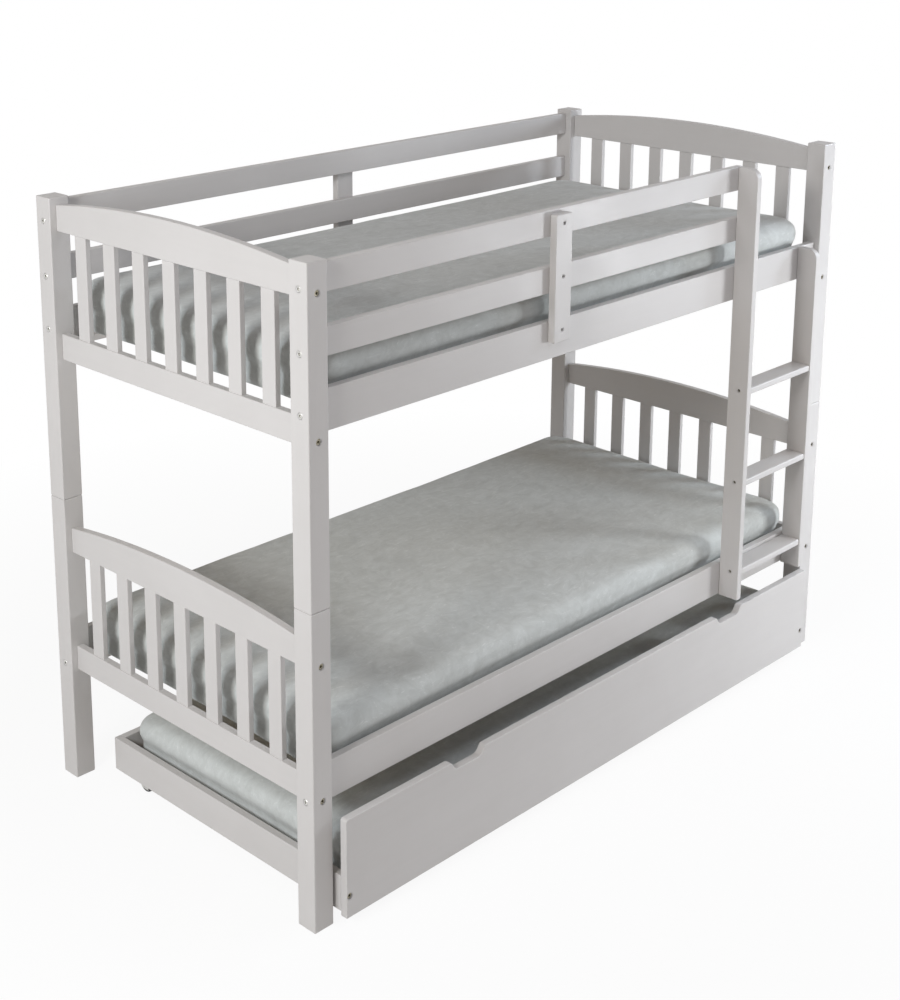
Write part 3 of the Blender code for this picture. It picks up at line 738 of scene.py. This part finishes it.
def make_barrel_nuts(name, spots):
    """Steel buttons just under the board's face."""
    nut = bmesh.new()
    size = {"radius1": nut_radius, "radius2": nut_radius, "depth": nut_height}
    bmesh.ops.create_cone(nut, cap_ends=True, segments=24, **size)
    ease(nut, [edge for edge in nut.edges if span(edge, 2) < tiny], nut_rim, 1)
    make_fasteners(name, mesh_from(nut, "nut"), spots, "bed_frame", nut_sunk, painted_shade_bolt_steel)


make_barrel_nuts("rail_barrel_nuts", nut_spots)
print("rails 8, barrel nuts", len(nut_spots))

# %% [markdown]
# ## End panels
#
# A panel is a bottom rail with seven slats and an arched top rail. The arch is one
# shallow curve: the top edge of a box is cut into many parts, and its points are moved
# onto the arc. The slats are boxes that stand in the bottom rail and stop at the arch.

# %% Arched rails
arch_parts = 36
shoulder_height = 0.065


def arch_height(y, middle, half, rise):
    """Height of the arc above the rail's lower edge."""
    radius = (half**2 + rise**2) / (2 * rise)
    return shoulder_height + rise - radius + math.sqrt(radius**2 - (y - middle) ** 2)


def make_arch(node):
    """The arched top rail of a panel."""
    low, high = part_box(node)
    middle = (low.y + high.y) / 2
    half = (high.y - low.y) / 2
    rise = high.z - low.z - shoulder_height
    bm = bmesh.new()
    made = add_box(bm, low, high)
    lengthwise = [edge for edge in edges_of(made) if span(edge, 1) > half]
    bmesh.ops.subdivide_edges(bm, edges=lengthwise, cuts=arch_parts - 1, use_grid_fill=True)
    for point in bm.verts:
        if point.co.z > low.z + shoulder_height / 2:
            point.co.z = low.z + arch_height(point.co.y, middle, half, rise)
    ease(bm, sharp_edges(bm, 40))
    return painted_piece(f"painted_{node}", bm, "across", node)


# %% Slatted panels
slat_count = 7
slat_width = 0.044
slat_thickness = 0.015
slat_in_rail = 0.012
slat_below_arch = 0.0003
panel_rail_height = 0.066


def make_panel(node, arch_node):
    """The bottom rail of a panel with its slats; gives the rail."""
    low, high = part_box(node)
    slat_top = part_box(arch_node)[0].z - slat_below_arch
    rail_top = low.z + panel_rail_height
    bm = bmesh.new()
    ease(bm, edges_of(add_box(bm, low, (high.x, high.y, rail_top))))
    rail = painted_piece(f"painted_{node}_rail", bm, "across", node)
    bm = bmesh.new()
    middle_x = (low.x + high.x) / 2
    gap = (high.y - low.y - slat_count * slat_width) / (slat_count + 1)
    for index in range(slat_count):
        start = low.y + gap + index * (slat_width + gap)
        corner_low = (middle_x - slat_thickness / 2, start, rail_top - slat_in_rail)
        corner_high = (middle_x + slat_thickness / 2, start + slat_width, slat_top)
        ease(bm, edges_of(add_box(bm, corner_low, corner_high)))
    painted_piece(f"painted_{node}_slats", bm, "upright", node)
    return rail


panel_nuts = []
for level in levels:
    for end in ends:
        arch_node = f"arch_rail_{level}_{end}"
        arch = make_arch(arch_node)
        rail = make_panel(f"slatted_panel_{level}_{end}", arch_node)
        low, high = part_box(arch_node)
        for piece, height in zip((rail, arch), panel_bolt_heights[level]):
            nut_ys = (low.y + nut_from_post, high.y - nut_from_post)
            spots = [((high.x, y, height), (1, 0, 0)) for y in nut_ys]
            bore_board(piece, spots, **nut_bore)
            panel_nuts += spots
make_barrel_nuts("panel_barrel_nuts", panel_nuts)
print("panels 4, slats", 4 * slat_count)

# %% [markdown]
# ## Guard supports and ladder
#
# A short upright board outside the rails stiffens the long guard rails. The ladder's
# stiles have one large round corner at the top, and its treads are screwed between them
# from outside. Round corners are a wide bevel, made before the fine easing.


# %% Shaped uprights
def corner_edges(bm, axis, high_z, side_y=None):
    """Edges that run along an axis at the top of a box, on one side if asked."""
    found = []
    for edge in bm.edges:
        points = [point.co for point in edge.verts]
        runs = span(edge, axis) > 0.9 * edge.calc_length()
        at_top = all(abs(point.z - high_z) < tiny for point in points)
        on_side = side_y is None or all(abs(point.y - side_y) < tiny for point in points)
        if runs and at_top and on_side:
            found.append(edge)
    return found


small_bore_radius = 0.0055
small_bolt_share = 0.66


def make_upright(node, corner_axis, radius, spots, side_y=None):
    """An upright board with round top corners and small bolts in its face."""
    low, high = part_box(node)
    bm = bmesh.new()
    add_box(bm, low, high)
    ease(bm, corner_edges(bm, corner_axis, high.z, side_y), radius, 8)
    ease(bm, sharp_edges(bm, 40))
    board = painted_piece(f"painted_{node}", bm, "upright", node)
    bore_board(board, spots, radius=small_bore_radius)
    make_bolts(f"bolts_{node}", spots, "bed_frame", size=small_bolt_share)


# %% Guard supports
support_bolt_heights = (1.2438, 1.3760, 1.5059)
support_corner_radius = 0.005
for face, toward in faces.items():
    node = f"guard_support_{face}"
    low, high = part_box(node)
    outer_y = low.y if toward < 0 else high.y
    middle_x = (low.x + high.x) / 2
    spots = [((middle_x, outer_y, z), (0, toward, 0)) for z in support_bolt_heights]
    make_upright(node, 1, support_corner_radius, spots)

# %% Ladder
stile_corner_radius = 0.028
stile_bolt_y = -0.487
tread_edge_radius = 0.004
treads = [f"ladder_tread_{index}" for index in (1, 2, 3)]
tread_middles = [box_middle(node).z for node in treads]
for end, outward in ends.items():
    node = f"ladder_stile_{end}"
    low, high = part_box(node)
    outer_x = low.x if outward < 0 else high.x
    spots = [((outer_x, stile_bolt_y, z), (outward, 0, 0)) for z in tread_middles]
    make_upright(node, 0, stile_corner_radius, spots, side_y=low.y)
for node in treads:
    eased_board(f"painted_{node}", node, "along", radius=tread_edge_radius)
print("treads at", [round(height, 3) for height in tread_middles])

# %% [markdown]
# ## Slatted bases
#
# Fourteen loose slats of bare pine lie on cleats inside the side rails. Two cloth tapes
# under them, held by staples, keep them at equal distances, so that the whole base
# unrolls like a blind.

# %% Slats, tapes and staples
base_slat_count = 14
base_slat_width = 0.065
base_slat_thickness = 0.014
base_slat_radius = 0.0018
tape_width = 0.030
tape_place_share = 0.28
tape_into_slat = 0.0004
tape_radius = 0.0005
staple_half = (0.006, 0.0006)
staple_below = 0.0006
staple_above = 0.0004
staple_radius = 0.0003


def make_base(node, body):
    """Pine slats on two tapes in place of a packed base."""
    low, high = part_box(node)
    under = high.z - base_slat_thickness
    pitch = (high.x - low.x - base_slat_width) / (base_slat_count - 1)
    tape_from_middle = tape_place_share * (high.y - low.y)
    middle_y = (low.y + high.y) / 2
    tape_ys = [middle_y + side * tape_from_middle for side in faces.values()]
    half_x, half_y = staple_half
    slats, staples, tapes = bmesh.new(), bmesh.new(), bmesh.new()
    for index in range(base_slat_count):
        start = low.x + index * pitch
        corner_high = (start + base_slat_width, high.y, high.z)
        slat = add_box(slats, (start, low.y, under), corner_high)
        ease(slats, edges_of(slat), base_slat_radius, 2)
        x = start + base_slat_width / 2
        for y in tape_ys:
            corner_low = (x - half_x, y - half_y, low.z - staple_below)
            corner_high = (x + half_x, y + half_y, low.z + staple_above)
            wire = add_box(staples, corner_low, corner_high)
            ease(staples, edges_of(wire), staple_radius, 1)
    for y in tape_ys:
        corner_low = (low.x + base_slat_width / 2, y - tape_width / 2, low.z)
        corner_high = (high.x - base_slat_width / 2, y + tape_width / 2, under + tape_into_slat)
        tape = add_box(tapes, corner_low, corner_high)
        ease(tapes, edges_of(tape), tape_radius, 1)
    make_piece(f"pine_{node}", slats, pine, body, (node,))
    make_piece(f"tapes_{node}", tapes, webbing, body)
    make_piece(f"staples_{node}", staples, fork_steel, body, flat_sides=False)


make_base("slat_base_lower", "bed_frame")
make_base("slat_base_upper", "bed_frame")
make_base("trundle_slat_base", "trundle")
print("base slats", 3 * base_slat_count)

# %% [markdown]
# ## Trundle
#
# The trundle is a shallow tray with a high front board. Two hand holds are sawn into the
# board's top edge. A box is split where each hold begins and ends, the middle of its top
# is pushed down, and the crossing edges get their own radii before the fine easing.

# %% Trundle front board
hold_from_center = 0.5435
hold_half_top = 0.059
hold_half_base = 0.045
hold_depth = 0.022
top_corner_radius = 0.008
hold_rim_radius = 0.0044
hold_base_radius = 0.0105
front_bolt_height = 0.079
front_bolt_from_left = 0.010
front_bolt_from_right = 0.0105


def crossing_edges(bm, xs, z):
    """Edges through the board's thickness at a height and at given places along it."""
    return [
        edge
        for edge in bm.edges
        if span(edge, 0) + span(edge, 2) <= tiny
        and abs(edge.verts[0].co.z - z) < near
        and any(abs(edge.verts[0].co.x - x) < near for x in xs)
    ]


def make_front_board(node):
    """The front board with its two hand holds and round top corners."""
    low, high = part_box(node)
    middle = (low.x + high.x) / 2
    bm = bmesh.new()
    add_box(bm, low, high)
    centers = (middle - hold_from_center, middle + hold_from_center)
    shoulders = [center + way * hold_half_top for center in centers for way in (-1, 1)]
    bases = [center + way * hold_half_base for center in centers for way in (-1, 1)]
    for x in shoulders + bases:
        parts = bm.verts[:] + bm.edges[:] + bm.faces[:]
        bmesh.ops.bisect_plane(bm, geom=parts, plane_co=(x, 0, 0), plane_no=(1, 0, 0))
    for point in bm.verts:
        if point.co.z > high.z - tiny and any(abs(point.co.x - x) < near for x in bases):
            point.co.z = high.z - hold_depth
    ease(bm, crossing_edges(bm, (low.x, high.x), high.z), top_corner_radius, 6)
    ease(bm, crossing_edges(bm, shoulders, high.z), hold_rim_radius, 4)
    ease(bm, crossing_edges(bm, bases, high.z - hold_depth), hold_base_radius, 6)
    outline = [
        edge
        for edge in sharp_edges(bm, 60)
        if span(edge, 1) < tiny or edge.calc_face_angle(0) > 1.5
    ]
    ease(bm, outline)
    board = painted_piece(f"painted_{node}", bm, "along", node, "trundle")
    bolt_xs = (low.x + front_bolt_from_left, high.x - front_bolt_from_right)
    spots = [((x, low.y, front_bolt_height), (0, -1, 0)) for x in bolt_xs]
    bore_board(board, spots)
    make_bolts("bolts_trundle_front", spots, "trundle")


make_front_board("trundle_front_panel")

# %% Trundle tray
for end in ends:
    node = f"trundle_end_board_{end}"
    eased_board(f"painted_trundle_end_{end}", node, "across", "trundle")
eased_board("painted_trundle_back", "trundle_back_board", "along", "trundle")
low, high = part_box("trundle_front_panel")
print("trundle front", [round(side, 3) for side in high - low])

# %% [markdown]
# ## Casters
#
# Each caster hangs in a folded steel fork on a screw plate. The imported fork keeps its
# shape and gets the plating and four screw heads. The wheel is turned: a profile from
# bore to rim is spun about the axle, first the hub, then the soft tread that wraps it.


# %% Wheels
def spun_ring(bm, profile, steps):
    """Turn a closed profile of (along, radius) points about the X axis."""
    points = [bm.verts.new((along, 0, -radius)) for along, radius in profile]
    loop = [bm.edges.new((points[index - 1], points[index])) for index in range(len(points))]
    turn = {"cent": (0, 0, 0), "axis": (1, 0, 0), "dvec": (0, 0, 0), "angle": math.tau}
    bmesh.ops.spin(bm, geom=points + loop, steps=steps, use_merge=True, **turn)


def mirrored_profile(half_profile):
    """A profile and its mirror image as one closed loop."""
    return half_profile + [(-along, radius) for along, radius in reversed(half_profile)]


hub_half = [(-0.0090, 0.0046), (-0.0090, 0.0085), (-0.0078, 0.0095), (-0.0062, 0.0108)]
hub_half += [(-0.0060, 0.0165), (-0.0066, 0.0182), (-0.0070, 0.0196)]
tread_half = [(-0.0072, 0.0194), (-0.0086, 0.0198), (-0.0090, 0.0208), (-0.0090, 0.0226)]
tread_half += [(-0.0082, 0.0240), (-0.0066, 0.0248), (-0.0040, 0.0250)]
wheel_steps = 48


def make_wheel(node):
    """Hub and tread of one caster wheel."""
    middle = box_middle(node)
    for title, half, material in (("hub", hub_half, hub), ("tread", tread_half, tyre)):
        bm = bmesh.new()
        spun_ring(bm, mirrored_profile(half), wheel_steps)
        bmesh.ops.translate(bm, vec=middle, verts=bm.verts)
        name = f"{title}_{node}"
        part = make_piece(name, bm, material, node, (node,), flat_sides=False)
        part.data.set_sharp_from_angle(angle=math.radians(40))


# %% Wheels and plate screws
plate_thickness = 0.0015
screw_from_side = 0.0065
screws_from_top = (0.0075, 0.0325)
screw_spots = []
for face in faces:
    for end, outward in ends.items():
        make_wheel(f"caster_wheel_{face}_{end}")
        low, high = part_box(f"caster_bracket_{face}_{end}")
        plate_x = low.x + plate_thickness if outward < 0 else high.x - plate_thickness
        for y in (low.y + screw_from_side, high.y - screw_from_side):
            for down in screws_from_top:
                screw_spots.append(((plate_x, y, high.z - down), (-outward, 0, 0)))
make_bolts("caster_screws", screw_spots, "trundle", sunk=0.0004, size=0.4, steel=fork_steel)
print("wheels 4, caster screws", len(screw_spots))

# %% [markdown]
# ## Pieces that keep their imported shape
#
# Cleats, seam pins and the caster forks are right as they are. They only need their
# finish, which goes into the material slots that they already have.

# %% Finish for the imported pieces
finishes = {"slat_cleat": paints["along"], "trundle_cleat": paints["along"]}
finishes |= {"seam_pin": fork_steel, "caster_bracket": fork_steel}
kept = [(name, start) for name in nodes for start in finishes if name.startswith(start)]
for name, start in kept:
    for slot in nodes[name].material_slots:
        slot.material = finishes[start]
print("kept", len(kept))

# %% [markdown]
# ## Mattresses
#
# Cloth pulls a foam block's edges round, its faces swell and its top is never quite
# even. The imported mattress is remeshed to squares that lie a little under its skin, and
# blown up with a cloth simulation without gravity. The swelling is capped, the underside
# stays flat on its slats, and a slow unevenness is laid over the rest. Then the shape is
# let out until its sides lie, on average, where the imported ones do. Below the edge of
# its frame the sides are drawn in, for the dark line between mattress and board.

# %% Mattress helpers
swell_cap = 0.005
start_inset = 0.004
remesh_size = 0.015
tuck_depth = 0.008
tuck_above = 0.020
tuck_below = 0.010

cloth_frames = 20


def closed_copy(node):
    """The mesh of a packed mattress with its points merged."""
    """The mesh of a packed mattress with its points merged, and its skin to search."""
    bm = bmesh.new()
    bm.from_mesh(nodes[node].data)
    bmesh.ops.remove_doubles(bm, verts=bm.verts, dist=near)
    skin = BVHTree.FromBMesh(bm)
    return mesh_from(bm, "mattress_start"), skin


def lie_under(mesh, skin):
    """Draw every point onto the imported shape, a little under its skin."""
    for point in mesh.vertices:
        place, outward = skin.find_nearest(point.co)[:2]
        point.co = place - outward * start_inset
    mesh.update()


def blow_up(piece):
    """Swell a closed mesh with cloth under pressure, and give its new points."""
    cloth = piece.modifiers.new("swell", "CLOTH")
    cloth.settings.quality = 4
    cloth.settings.use_pressure = True
    cloth.settings.uniform_pressure_force = 4
    cloth.settings.effector_weights.gravity = 0
    cloth.point_cache.frame_start = 1
    cloth.point_cache.frame_end = cloth_frames
    scene = bpy.context.scene
    for step in range(1, cloth_frames + 1):
        scene.frame_set(step)
    swollen = baked(piece)
    places = [point.co.copy() for point in swollen.vertices]
    piece.modifiers.remove(cloth)
    bpy.data.meshes.remove(swollen)
    scene.frame_set(1)
    return places


def unevenness(place):
    """How far the cover lies above or below its mean here, in metres."""
    slow = noise.noise(Vector((place.x * 2.6, place.y * 3.4, place.z * 4)))
    quick = noise.noise(Vector((place.x * 9, place.y * 11, place.z * 9 + 7)))
    return 0.0020 * slow + 0.0008 * quick


def side_levels(mesh, outset=0.0):
    """The mean low and high side of a mesh along each axis, moved outwards."""
    found = []
    for axis in range(3):
        sides = [
            [point.co[axis] for point in mesh.vertices if way * point.normal[axis] > 0.9]
            for way in (-1, 1)
        ]
        low, high = (sum(side) / len(side) for side in sides)
        found.append((low - outset, high + outset))
    return found


def outward_ways(mesh):
    """The normals of all points, read before any point moves."""
    return [point.normal.copy() for point in mesh.vertices]


def tuck_in(mesh, edge_z):
    """Draw the sides in below the edge of the frame that the mattress lies in."""
    for point, outward in zip(mesh.vertices, outward_ways(mesh)):
        share = min(max((edge_z + tuck_above - point.co.z) / (tuck_above + tuck_below), 0), 1)
        inward = tuck_depth * share * share * (3 - 2 * share)
        point.co -= inward * Vector((outward.x, outward.y, 0))
    mesh.update()


def let_out(mesh, wanted):
    """Stretch a mesh along the three axes until its sides lie at the wanted levels."""
    for axis, (now, then) in enumerate(zip(side_levels(mesh), wanted)):
        for point in mesh.vertices:
            share = (point.co[axis] - now[0]) / (now[1] - now[0])
            point.co[axis] = then[0] + share * (then[1] - then[0])
    mesh.update()


def keep_above(mesh, floor_z):
    """Lift points that lie lower than the slats up to them."""
    for point in mesh.vertices:
        point.co.z = max(point.co.z, floor_z)


def make_mattress(name, node, edge_node, body):
    """A soft mattress in place of a packed one, tucked in behind a board's edge."""
    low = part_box(node)[0]
    mesh, skin = closed_copy(node)
    piece = add_object(name, mesh)
    piece.data = modified(mesh, "REMESH", mode="VOXEL", voxel_size=remesh_size)
    lie_under(piece.data, skin)
    wanted = side_levels(piece.data, start_inset)
    start = [point.co.copy() for point in piece.data.vertices]
    places = blow_up(piece)
    outward = outward_ways(piece.data)
    for point, before, after, way in zip(piece.data.vertices, start, places, outward):
        step = after - before
        if step.length > swell_cap:
            step = step.normalized() * swell_cap
        point.co = before + step + way * unevenness(before)
    keep_above(piece.data, low.z)
    piece.data = modified(piece.data, "SUBSURF", levels=1, render_levels=1)
    let_out(piece.data, wanted)
    tuck_in(piece.data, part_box(edge_node)[1].z)
    keep_above(piece.data, low.z)
    piece.data.name = name
    piece.data.materials.clear()
    piece.data.materials.append(cover)
    piece.data.shade_smooth()
    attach(piece, body)
    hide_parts(node)
    print(name, len(piece.data.polygons), "faces")


# %% Make the mattresses
make_mattress("foam_mattress_lower", "mattress_lower", "side_rail_lower_front", "bed_frame")
make_mattress("foam_mattress_upper", "mattress_upper", "side_rail_upper_front", "bed_frame")
make_mattress("foam_mattress_trundle", "trundle_mattress", "trundle_end_board_left", "trundle")

# %% [markdown]
# ## Floor and white room
#
# The bed stands on a white studio floor that melts into a white room. The floor takes
# light like pale paint, so the bed keeps its soft shadow, but is mostly its own white to
# the camera, all of it further off, so that no edge shows. The room is white to the
# camera and in reflections, and an even warm light otherwise.

# %% Floor
floor_radius = 9.0
floor_below = 0.0004


def seen_share(tree):
    """1 where a ray comes from the camera, a mirror or glass."""
    path = add_node(tree, "ShaderNodeLightPath").outputs
    direct = calculate(tree, "MAXIMUM", path["Is Camera Ray"], path["Is Glossy Ray"])
    return calculate(tree, "MAXIMUM", direct, path["Is Transmission Ray"])


def white_floor():
    """Pale paint that turns to plain white away from the bed."""
    material, tree, shader, place = new_material("studio_floor")
    away = add_node(tree, "ShaderNodeVectorMath", {0: place}, operation="LENGTH")
    grit = noise_at(tree, place, 40.0, 3.0)
    tone = blend(tree, grit, (0.80, 0.80, 0.80, 1), (0.84, 0.84, 0.84, 1))
    set_finish(shader, tone, spread(tree, grit, 0, 1, 0.85, 0.95))
    glow = add_node(tree, "ShaderNodeEmission", {"Color": (1, 1, 1, 1), "Strength": 1.0})
    own_white = spread(tree, away.outputs["Value"], 1.3, 2.6, 0.92, 1.0)
    share = calculate(tree, "MULTIPLY", own_white, seen_share(tree))
    inputs = {0: share, 1: shader.outputs[0], 2: glow.outputs[0]}
    mixed = add_node(tree, "ShaderNodeMixShader", inputs)
    output = tree.nodes["Material Output"]
    tree.links.new(mixed.outputs[0], output.inputs["Surface"])
    return material


bm = bmesh.new()
matrix = Matrix.Translation((0, 0, -floor_below))
bmesh.ops.create_circle(bm, cap_ends=True, segments=96, radius=floor_radius, matrix=matrix)
floor_mesh = mesh_from(bm, "studio_floor")
floor_mesh.materials.append(white_floor())
floor = add_object("studio_floor", floor_mesh)
floor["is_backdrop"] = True

# %% White room
room = bpy.data.worlds.new("white_room")
room.use_nodes = True
bpy.context.scene.world = room
tree = room.node_tree
tree.nodes.clear()
soft = add_node(tree, "ShaderNodeBackground", {"Color": (1, 0.90, 0.82, 1), "Strength": 0.24})
white = add_node(tree, "ShaderNodeBackground", {"Color": (1, 1, 1, 1), "Strength": 1.0})
mixed = add_node(
    tree, "ShaderNodeMixShader", {0: seen_share(tree), 1: soft.outputs[0], 2: white.outputs[0]}
)
add_node(tree, "ShaderNodeOutputWorld", {"Surface": mixed.outputs[0]})
print("floor and room ready")

# %% [markdown]
# ## The dressed bed's size
#
# The dressed bed has to fill the same box as the imported one. Its size is printed here.

# %% Sizes
low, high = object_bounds()
print("dressed bed", [round(side, 4) for side in high - low], "m")
